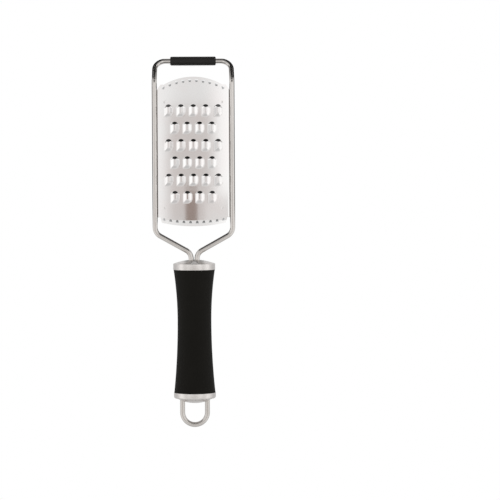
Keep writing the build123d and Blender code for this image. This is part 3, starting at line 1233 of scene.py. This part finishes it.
@dataclass
class GratingPlate:
    """The crowned, hemmed and punched sheet."""

    layout: Layout
    side_x: float
    shoulder_y: float
    steel: Material
    tooth: Tooth = field(default_factory=Tooth)
    hole: EdgeHole = field(default_factory=EdgeHole)
    sheet: float = 0.5 * MM
    hem_radius: float = 2.2 * MM
    hem_angle: float = math.radians(75.0)
    crown_rise: float = 3.12 * MM
    edge_height: float = 1.48 * MM
    bend_radius: float = 1.1 * MM
    hem_offset: float = 13.4 * MM
    hem_length: float = 106.9 * MM
    tongue_inset: float = 2.35 * MM
    tongue_taper: float = 1.1 * MM
    tongue_length: float = 4.5 * MM
    tongue_bend: float = 2.2 * MM
    tongue_ease: float = 0.5 * MM
    tongue_droop: float = math.radians(1.65)
    shoulder_inset: float = 3.05 * MM
    shoulder_length: float = 4.8 * MM
    arch_inset: float = 2.8 * MM
    rows: int = 6
    teeth_in_row: int = 5
    tooth_pitch_share: float = 0.3425
    row_pitch: float = 14.56 * MM
    first_row: float = 21.1 * MM
    holes_in_row: int = 10
    hole_pitch_share: float = 0.1839
    hole_inset: float = 3.3 * MM
    top_hole_arc: float = 56.0 * MM
    bottom_hole_arc: float = 133.0 * MM
    weld_x: float = 24.1 * MM
    weld_insets: Point = (7.9 * MM, 96.9 * MM)
    weld_radius: float = 0.85 * MM
    weld_rings: tuple[float, ...] = (0.001, 0.35, 0.7, 1.0, 1.35)
    weld_depth: float = 0.16 * MM
    grid_pitch: float = 1.25 * MM
    bend_pitch: float = 0.3 * MM
    window_margin: float = 0.3 * MM

    def __post_init__(self) -> None:
        """Work out the section's radii and the places along the plate."""
        self.edge_x = self.side_x - self.hem_radius
        self.crown_radius = bow_radius(self.edge_x, self.crown_rise)
        self.crown_top = self.layout.axis_z + self.edge_height + self.crown_rise
        self.hem_low_y = self.shoulder_y + self.hem_offset
        self.hem_high_y = self.hem_low_y + self.hem_length
        inner_x = self.edge_x - self.bend_radius
        inner_radius = self.crown_radius - self.bend_radius
        self.bend_lean = math.asin(inner_x / inner_radius)
        bend_rise = math.sqrt(inner_radius**2 - inner_x**2)
        self.bend_z = self.crown_top - self.crown_radius + bend_rise

    def flat_x(self, x: float) -> float:
        """Return the distance from the middle along the crown to a place at x."""
        return self.crown_radius * math.asin(x / self.crown_radius)

    def section(self) -> list[Point]:
        """Sample the outer face's section from the middle to the +X hem's end.

        Returns:
            Pairs of x and z.
        """
        crown_middle = (0.0, self.crown_top - self.crown_radius)
        lean = QUARTER - self.bend_lean
        crown = arc_points(crown_middle, self.crown_radius, QUARTER, lean, 80)
        bend_middle = (self.edge_x - self.bend_radius, self.bend_z)
        bend = arc_points(bend_middle, self.bend_radius, lean, 0.0, 16)
        hem_middle = (self.side_x, self.layout.axis_z)
        hem_end = math.pi + self.hem_angle
        hem = arc_points(hem_middle, self.hem_radius, math.pi, hem_end, 16)
        return crown + bend[1:] + hem

    def tooth_places(self) -> list[Triple]:
        """List the teeth.

        Returns:
            x and y on the flat sheet, and the turn, of each.
        """
        places = []
        for row in range(self.rows):
            count = self.teeth_in_row - (row + 1) % 2
            for column in range(count):
                x = (column - (count - 1) / 2) * self.edge_x * self.tooth_pitch_share
                y = self.hem_low_y + self.first_row + row * self.row_pitch
                places.append((self.flat_x(x), y, 0.0))
        return places

    def hole_places(self) -> list[Triple]:
        """List the small holes.

        Returns:
            x and y on the flat sheet, and the turn, of each.
        """
        top_middle = self.layout.plate_high_y - self.hole_inset - self.top_hole_arc
        low_middle = self.layout.plate_low_y + self.hole_inset + self.bottom_hole_arc
        places = []
        for column in range(self.holes_in_row):
            x = (column - (self.holes_in_row - 1) / 2) * self.edge_x * self.hole_pitch_share
            high = top_middle + math.sqrt(self.top_hole_arc**2 - x**2)
            low = low_middle - math.sqrt(self.bottom_hole_arc**2 - x**2)
            places += [(self.flat_x(x), high, 0.0), (self.flat_x(x), low, math.pi)]
        return places

    def outline(self, half_width: float) -> list[Point]:
        """Sample the flat blank's outline.

        Args:
            half_width: The distance from the middle to the hem's end.

        Returns:
            The counter-clockwise loop.
        """
        shoulder_x = self.edge_x - self.shoulder_inset
        arch_x = self.flat_x(shoulder_x - self.arch_inset)
        tongue_x = self.edge_x - self.tongue_inset
        end_x = self.flat_x(tongue_x - self.tongue_taper)
        tongue_y = self.hem_low_y - self.tongue_length
        arch_y = self.hem_high_y + self.shoulder_length
        bend_x = self.crown_radius * self.bend_lean
        bend_x += self.bend_radius * (QUARTER - self.bend_lean)
        corners = [
            (end_x, tongue_y),
            (self.flat_x(tongue_x), self.hem_low_y),
            (half_width, self.hem_low_y),
            (half_width, self.hem_high_y),
            (bend_x, self.hem_high_y),
            (self.flat_x(shoulder_x), arch_y),
            (arch_x, arch_y),
        ]
        right = []
        for start, stop in zip(corners, corners[1:]):
            pitch = self.bend_pitch if start[1] == stop[1] else self.grid_pitch
            steps = max(1, round(math.dist(start, stop) / pitch))
            (x, y), run, rise = start, stop[0] - start[0], stop[1] - start[1]
            right += [(x + s * run, y + s * rise) for s in np.linspace(0.0, 1.0, steps + 1)[:-1]]
        right.append(corners[-1])
        top = self._bow(arch_x, arch_y, self.layout.plate_high_y)
        bottom = self._bow(end_x, tongue_y, self.layout.plate_low_y)
        left = [(-x, y) for x, y in reversed(right)]
        return right + top[1:-1] + left + bottom[::-1][1:-1]

    def _bow(self, half: float, end_y: float, middle_y: float) -> list[Point]:
        """Sample a shallow arc from +half to -half.

        Args:
            half: Half its chord.
            end_y: The height of its ends.
            middle_y: The height of its middle.

        Returns:
            The points, both ends included.
        """
        ball = bow_radius(half, abs(middle_y - end_y))
        drop = math.copysign(ball, middle_y - end_y)
        spread = math.asin(half / ball)
        angles = np.linspace(spread, -spread, round(2 * half / self.grid_pitch) + 1)
        return [(ball * math.sin(a), middle_y - drop * (1 - math.cos(a))) for a in angles]

    def welds(self) -> list[Point]:
        """Return the four places where the plate is spot welded."""
        sides = (-self.flat_x(self.weld_x), self.flat_x(self.weld_x))
        return [(x, self.hem_low_y + inset) for x in sides for inset in self.weld_insets]

    def blank(self, half_width: float) -> Piece:
        """Build the flat blank with a window for each punched form.

        Args:
            half_width: The distance from the middle to the hem's end.

        Returns:
            The object that the punching starts from.
        """
        windows = [(x, y, self.tooth.window) for x, y, _ in self.tooth_places()]
        windows += [(x, y, self.hole.window) for x, y, _ in self.hole_places()]
        holes = [[(x + u, y + v) for u, v in window.border()] for x, y, window in windows]
        outline = self.outline(half_width)
        bend_x = self.crown_radius * self.bend_lean
        columns = np.arange(0.0, bend_x, self.grid_pitch)
        edge_columns = np.arange(bend_x, half_width - self.bend_pitch / 2, self.bend_pitch)
        right = np.concatenate([columns[1:], edge_columns])
        across = np.concatenate([-right[::-1], [0.0], right])
        up = np.arange(self.layout.plate_low_y, self.layout.plate_high_y, self.grid_pitch)
        grid = np.stack(np.meshgrid(across, up), axis=-1).reshape(-1, 2)
        rings = [
            arc_points(weld, self.weld_radius * share, 0.0, 2 * math.pi, 12)[:-1]
            for weld in self.welds()
            for share in self.weld_rings
        ]
        grid = np.concatenate([grid, np.array(rings).reshape(-1, 2)])
        grid = grid[self._clear_of(grid, outline, windows)]
        fill = [tuple(map(float, point)) for point in grid]

        def in_window(x: float, y: float) -> bool:
            """Say whether a place lies in any window."""
            return any(window.holds(x - u, y - v) for u, v, window in windows)

        corners, faces = triangulate(outline, holes, fill, in_window)
        flat = np.array(corners)
        dip = np.zeros(len(flat))
        for u, v in self.welds():
            reach = np.hypot(flat[:, 0] - u, flat[:, 1] - v) / self.weld_radius
            dip -= self.weld_depth * np.clip(1.0 - reach**4, 0.0, 1.0)
        return new_piece("grater_sheet", np.column_stack([flat, dip]), faces=faces)

    def _clear_of(
        self, grid: np.ndarray, outline: Sequence[Point], windows: Sequence[tuple]
    ) -> np.ndarray:
        """Mark the grid points that lie in the blank, clear of its windows and edges.

        Args:
            grid: The points.
            outline: The blank's outline.
            windows: Place and size of each window.

        Returns:
            True for each point that stays.
        """
        margin = self.window_margin
        x, y = grid[:, 0], grid[:, 1]
        clear, inside = np.ones(len(grid), bool), np.zeros(len(grid), bool)
        for u, v, window in windows:
            wide = np.abs(x - u) < window.half_width + margin
            clear &= ~(wide & (y > v + window.low - margin) & (y < v + window.high + margin))
        loop = np.array(outline)
        for (x0, y0), (x1, y1) in zip(loop, np.roll(loop, -1, axis=0)):
            if y0 != y1:
                crossed = (y0 > y) != (y1 > y)
                inside ^= crossed & (x < (x1 - x0) * (y - y0) / (y1 - y0) + x0)
            run = np.array([x1 - x0, y1 - y0])
            share = np.clip(((grid - (x0, y0)) @ run) / (run @ run), 0.0, 1.0)
            gap = np.hypot(*(grid - (x0, y0) - share[:, None] * run).T)
            clear &= gap > margin / 2
        return clear & inside

    def build(self) -> None:
        """Punch the flat blank, roll it to its section and give it its thickness."""
        right = self.section()
        line = [(-x, 0.0, z) for x, z in reversed(right)] + [(x, 0.0, z) for x, z in right[1:]]
        half_width = sum(math.dist(a, b) for a, b in zip(right, right[1:]))
        helpers = {
            "Section": new_piece("section", line, [(i, i + 1) for i in range(len(line) - 1)]),
            "Tooth Places": self._markers(self.tooth_places()),
            "Hole Places": self._markers(self.hole_places()),
            "Tooth": self.tooth.patch(),
            "Hole": self.hole.patch(),
        }
        sizes = {"Half Section Length": half_width, "Weld Distance": 0.01 * MM}
        piece = self.blank(half_width)
        PunchAndRoll().apply_to(piece, {**helpers, **sizes, "Material": self.steel})
        wall = piece.modifiers.new("sheet", "SOLIDIFY")
        wall.thickness, wall.offset, wall.use_even_offset = self.sheet, -1.0, True
        settle(piece)
        discard(*helpers.values())
        self._bend_tongue(piece)
        keep(piece, "grater_plate", crease=45.0)

    def _bend_tongue(self, piece: Piece) -> None:
        """Bend the strip with the bottom holes slightly down, along a line across the sheet.

        Args:
            piece: The rolled sheet.
        """
        start, ease = self.hem_low_y - self.tongue_bend, self.tongue_ease
        with opened(piece) as shape:
            for y in (start, start - ease / 2, start - ease):
                everything = [*shape.verts, *shape.edges, *shape.faces]
                bmesh.ops.bisect_plane(
                    shape, geom=everything, plane_co=(0.0, y, 0.0), plane_no=(0.0, 1.0, 0.0)
                )
            for vertex in shape.verts:
                past = max(start - vertex.co.y, 0.0)
                run = past**2 / (2 * ease) if past < ease else past - ease / 2
                vertex.co.z -= run * math.tan(self.tongue_droop)

    @staticmethod
    def _markers(places: Sequence[Triple]) -> Piece:
        """Make a helper whose vertices mark the places of a punched form.

        Args:
            places: x, y and the turn at each place.

        Returns:
            The helper.
        """
        piece = new_piece("places", [(x, y, 0.0) for x, y, _ in places])
        mark(piece, "turn", [turn for _, _, turn in places])
        return piece


# Studio


class Seen(Enum):
    """Which rays a studio card is there for."""

    LIGHT = "light"
    MIRROR = "mirror"


def raise_card(
    name: str, place: Matrix, radiance: float, colour: Triple, softness: Point, seen: Seen
) -> None:
    """Make a soft-edged card of light or shade, out of the camera's sight.

    Args:
        name: The card's name.
        place: Where it stands; its own corners are at -1 and 1.
        radiance: How bright it is; 0 is a black card.
        colour: Its colour.
        softness: The share of its half width and half height over which it fades out.
        seen: Which rays meet it.
    """
    corners = [(-1, -1, 0), (1, -1, 0), (1, 1, 0), (-1, 1, 0)]
    card = new_piece(name, corners, faces=[(0, 1, 2, 3)])
    card.matrix_world = place
    graph = MaterialGraph(name)
    parts = graph.parts(graph.place)
    masks = [
        graph.smooth_step(graph.math("ABSOLUTE", part), 1.0, 1.0 - fade)
        for part, fade in zip((parts["X"], parts["Y"]), softness)
    ]
    light = graph.plain("ShaderNodeEmission", colour, Strength=radiance)
    clear = graph.add("ShaderNodeBsdfTransparent").outputs[0]
    mixed = graph.mix(graph.math("MULTIPLY", *masks), clear, light)
    card.data.materials.append(graph.finish(mixed))
    card.visible_camera = card.visible_shadow = False
    card.visible_diffuse = seen is Seen.LIGHT


@dataclass(frozen=True)
class Card:
    """A card that stands in a direction from the tool; angles are in degrees."""

    name: str
    azimuth: float
    elevation: float
    half_width: float
    half_height: float
    radiance: float
    softness: Point = (0.1, 0.1)
    distance: float = 4.0
    seen: Seen = Seen.LIGHT

    def build(self) -> None:
        """Stand the card in its direction, square to the tool."""
        azimuth, elevation = math.radians(self.azimuth), math.radians(self.elevation)
        level = Vector((math.cos(azimuth), math.sin(azimuth), 0.0)) * math.cos(elevation)
        out = level + Vector((0.0, 0.0, math.sin(elevation)))
        side = Vector((-math.sin(azimuth), math.cos(azimuth), 0.0))
        width = self.distance * math.tan(math.radians(self.half_width))
        height = self.distance * math.tan(math.radians(self.half_height))
        turned = Matrix((side * width, out.cross(side) * height, out)).transposed().to_4x4()
        place = Matrix.Translation(out * self.distance) @ turned
        raise_card(self.name, place, self.radiance, WHITE, self.softness, self.seen)


@dataclass(frozen=True)
class FlatCard:
    """A level card of light or shade, seen only by the bright metal."""

    name: str
    low: Point
    high: Point
    height: float
    radiance: float = 0.0
    colour: Triple = WHITE
    softness: Point = (0.05, 0.2)

    def build(self) -> None:
        """Lay the card level at its height."""
        middle = [(a + b) / 2 for a, b in zip(self.low, self.high)]
        half = [(b - a) / 2 for a, b in zip(self.low, self.high)]
        place = Matrix.Translation((*middle, self.height)) @ Matrix.Diagonal((*half, 1.0, 1.0))
        raise_card(self.name, place, self.radiance, self.colour, self.softness, Seen.MIRROR)


@dataclass
class Studio:
    """A pale floor under even white light, with cards that the metal mirrors."""

    layout: Layout
    plate: GratingPlate
    air_strength: float = 0.97
    floor_half: float = 30.0
    shadow_reach: float = 70.0 * MM
    shadow_tones: Point = (0.25, 0.93)
    contact_shadow_tones: Point = (0.03, 0.3)
    shadow_inset: float = 1.3 * MM
    shadow_blur: float = 1.2 * MM
    shadow_side_blur: float = 5.0 * MM
    shadow_grey: float = 0.05
    paper_grey: float = 0.8
    table_gap: float = 1.0 * MM
    table_reach: float = 150.0 * MM
    table_lift: float = 0.4 * MM
    table_half: float = 100.0 * MM
    neck_half: float = 12.0 * MM
    neck_gaps: Point = (4.0 * MM, 10.0 * MM)
    foot_gap: float = 12.0 * MM
    corner_inset: Point = (9.0 * MM, 14.0 * MM)

    def build(self) -> None:
        """Set the world, the floor and the cards."""
        scene = bpy.context.scene
        scene.view_settings.view_transform = "Standard"
        scene.world = bpy.data.worlds.new("studio_air")
        scene.world.use_nodes = True
        graph = Graph(scene.world.node_tree)
        graph.tree.nodes.clear()
        seen = graph.add("ShaderNodeLightPath").outputs["Is Camera Ray"]
        strength = graph.math("MAXIMUM", seen, self.air_strength)
        air = graph.add("ShaderNodeBackground", {"Color": (*WHITE, 1.0), "Strength": strength})
        graph.add("ShaderNodeOutputWorld", {"Surface": air.outputs[0]})
        self._build_floor()
        for card in [*self._lamps(), *self._ceiling_cards(), *self._table_cards()]:
            card.build()
        log.info("studio: floor, air and cards")

    def _lamps(self) -> list[Card]:
        """List the banks of light and the shades that stand round the tool.

        Returns:
            The cards.
        """
        return [
            Card("ceiling", -90.0, 78.0, 48.0, 33.0, 1.11, (0.2, 0.2), 4.4),
            Card("left_bank", 180.0, 62.0, 45.0, 24.0, 1.28, (1.0, 1.0)),
            Card("right_bank", 0.0, 62.0, 45.0, 24.0, 1.47, (1.0, 1.0)),
            Card("left_box", 180.0, 12.0, 52.0, 19.0, 1.55, (0.3, 0.5)),
            Card("right_box", 0.0, 12.0, 52.0, 19.0, 1.5, (0.3, 0.5)),
            Card("back_shade", 90.0, 36.0, 42.0, 34.0, 0.16, distance=4.2),
            Card("low_shade", 90.0, 8.0, 44.0, 18.0, 0.02, (0.2, 0.3), 4.15),
            Card("back_strip", 90.0, 46.0, 35.0, 4.0, 0.9, (0.4, 0.4)),
            Card("front_grey", -90.0, 20.0, 35.0, 14.0, 0.8, (0.5, 0.4), 4.3),
            Card("bar_light", 90.0, 9.0, 6.3, 3.6, 0.75, distance=0.174, seen=Seen.MIRROR),
        ]

    def _ceiling_cards(self) -> list[FlatCard]:
        """List the level cards overhead, in metres, that the plate and the caps mirror.

        Returns:
            The cards.
        """
        grey, warm, cool = (1.0, 0.95, 0.93), (1.0, 0.8, 0.71), (1.0, 0.98, 0.97)
        rear = (1.0, 0.975, 0.95)
        return [
            FlatCard("grey_top", (-1.6, -0.12), (1.3, 0.24), 3.7, 0.86, grey, (0.6, 0.2)),
            FlatCard("rear_grey", (-6.0, -1.6), (6.0, -0.34), 3.65, 0.8, rear),
            FlatCard("right_grey", (0.3, -0.2), (2.6, 0.02), 3.6, 1.03, cool, (0.3, 0.3)),
            FlatCard("dark_top", (-0.362, -0.2), (0.159, 0.03), 3.5, 0.42, warm, (0.1, 0.1)),
        ]

    def _table_cards(self) -> list[FlatCard]:
        """List the level cards just above the floor, which the wire mirrors.

        Returns:
            The two grey cards below the neck and loop, and the black ones round the plate.
        """
        lift, edge, soft = self.table_lift, self.plate.side_x, (0.4, 0.1)
        near_x, far_x = edge + self.table_gap, edge + self.table_reach
        cap_y = self.layout.grip_front_y + self.neck_gaps[0]
        low_y = self.layout.plate_low_y - self.neck_gaps[1]
        high_y, first_y = self.layout.foot_bar_y, self.layout.loop_end_y - self.table_reach
        far_y, beyond_y = high_y + self.table_reach, high_y + self.foot_gap
        corner_x, corner_y = edge - self.corner_inset[0], high_y - self.corner_inset[1]
        end_y, last_y = beyond_y + self.table_reach, beyond_y + 2 * self.table_reach
        half, neck = self.table_half, self.neck_half
        return [
            FlatCard("table_grey", (-half, first_y), (half, low_y), lift, 0.78),
            FlatCard("neck_table", (-neck, cap_y), (neck, low_y), 2 * lift, 0.4, softness=soft),
            FlatCard("left_shade", (-far_x, low_y), (-near_x, far_y), lift),
            FlatCard("right_shade", (near_x, low_y), (far_x, far_y), lift),
            FlatCard("top_shade", (-far_x, beyond_y), (far_x, last_y), lift),
            FlatCard("left_corner", (-far_x, corner_y), (-corner_x, end_y), lift),
            FlatCard("right_corner", (corner_x, corner_y), (far_x, end_y), lift),
        ]

    def _build_floor(self) -> None:
        """Lay the pale floor, with the tool's shadows painted on it: darker near the tool by
        ambient occlusion, and darkest below the plate by place.
        """
        half = self.floor_half
        corners = [(-half, -half, 0), (half, -half, 0), (0, 2 * half, 0)]
        floor = new_piece("floor", corners, faces=[(0, 1, 2)])
        graph = MaterialGraph("pale_floor")
        rays = graph.add("ShaderNodeLightPath").outputs
        seen = graph.math("ADD", rays["Is Camera Ray"], rays["Is Glossy Ray"], clamp=True)
        seen = graph.math("ADD", seen, rays["Is Transmission Ray"], clamp=True)
        # Painted shadow: an ambient occlusion mask darkens the floor near the tool, and a place
        # mask darkens it below the plate, where the mouths look through.
        reach = {"Distance": self.shadow_reach}
        nearby = graph.add("ShaderNodeAmbientOcclusion", reach, samples=16).outputs["AO"]
        painted_plate_shadow = graph.math("SUBTRACT", 1.0, graph.smooth_step(nearby, *self.shadow_tones))
        painted_plate_shadow = graph.math("MULTIPLY", painted_plate_shadow, self._painted_shadow_mask(graph))
        openness = graph.math("SUBTRACT", graph.smooth_step(nearby, *self.contact_shadow_tones), painted_plate_shadow)
        shadow = graph.plain("ShaderNodeBsdfDiffuse", (self.shadow_grey,) * 3)
        pale = graph.plain("ShaderNodeEmission", WHITE, Strength=1.0)
        paper = graph.plain("ShaderNodeBsdfDiffuse", (self.paper_grey,) * 3)
        shown = graph.mix(openness, shadow, pale)
        floor.data.materials.append(graph.finish(graph.mix(seen, paper, shown)))

    def _painted_shadow_mask(self, graph: MaterialGraph) -> Socket:
        """Mark the floor below the plate, where its shadow is painted.

        Args:
            graph: The floor's tree.

        Returns:
            1 below the plate, 0 outside its outline.
        """
        plate, blur = self.plate, self.shadow_blur
        parts = graph.parts(graph.place)
        half_width = plate.edge_x - self.shadow_inset
        away = graph.math("ABSOLUTE", parts["X"])
        inside = graph.smooth_step(away, half_width, half_width - self.shadow_side_blur)
        square = graph.math("MULTIPLY", parts["X"], parts["X"])
        ends = (
            (plate.top_hole_arc, self.layout.plate_high_y, 1.0),
            (plate.bottom_hole_arc, self.layout.plate_low_y, -1.0),
        )
        for arc, end_y, side in ends:
            radius = arc + plate.hole_inset - self.shadow_inset
            middle = side * end_y - arc - plate.hole_inset
            bow = graph.math("SQRT", graph.math("SUBTRACT", radius**2, square))
            along = graph.math("MULTIPLY_ADD", parts["Y"], side, -middle)
            depth = graph.math("SUBTRACT", bow, along)
            inside = graph.math("MULTIPLY", inside, graph.smooth_step(depth, 0.0, blur))
        return inside


@dataclass(frozen=True)
class ProductCamera:
    """The photograph's camera: high over the plate, aimed at the picture's centre."""

    scale: float = 0.8445 * MM
    axis_pixel: float = 194.1
    middle_pixel: float = 241.55
    distance: float = 1.95
    stand_y: float = 56.0 * MM
    aim_height: float = 17.7 * MM
    roll: float = math.radians(0.3)

    def build(self) -> None:
        """Stand and aim the camera."""
        centre = PICTURE_PIXELS / 2
        aim_x, aim_y = centre - self.axis_pixel, self.middle_pixel - centre
        aim = Vector((aim_x * self.scale, aim_y * self.scale, self.aim_height))
        eye = Vector((0.0, self.stand_y, self.aim_height + self.distance))
        data = bpy.data.cameras.new("product_camera")
        data.sensor_fit = "HORIZONTAL"
        data.lens = data.sensor_width * (aim - eye).length / (PICTURE_PIXELS * self.scale)
        data.clip_start, data.clip_end = 0.05, 100.0
        forward = (aim - eye).normalized()
        right = forward.cross(Vector((math.sin(self.roll), math.cos(self.roll), 0.0))).normalized()
        turned = Matrix((right, right.cross(forward), -forward)).transposed().to_4x4()
        camera = bpy.data.objects.new("product_camera", data)
        camera.matrix_world = Matrix.Translation(eye) @ turned
        bpy.context.scene.collection.objects.link(camera)
        bpy.context.scene.camera = camera
        log.info("camera: %.2f m away, %.0f mm lens", (aim - eye).length, data.lens)


def main() -> None:
    """Build the zester, its studio and its camera."""
    logging.basicConfig(level=logging.INFO, format="%(name)s: %(message)s")
    layout, wires, wire_steel = Layout.read(), BentWire(), WIRE_STEEL.material()
    rod = WireFrame(layout, wires, wire_steel)
    loop = HangingLoop(layout, wires, wire_steel)
    handle_finishes = [finish.material() for finish in (CAP_STEEL, GRIP_RUBBER, CORE_PLASTIC)]
    handle = Handle(layout, rod, loop, *handle_finishes)
    foot = FootSleeve(layout, FOOT_RUBBER.material())
    plate = GratingPlate(layout, rod.side_x, rod.shoulder_y, PLATE_STEEL.material())
    for item in (rod, loop, handle, foot, plate, Studio(layout, plate), ProductCamera()):
        item.build()


if __name__ == "__main__":
    main()
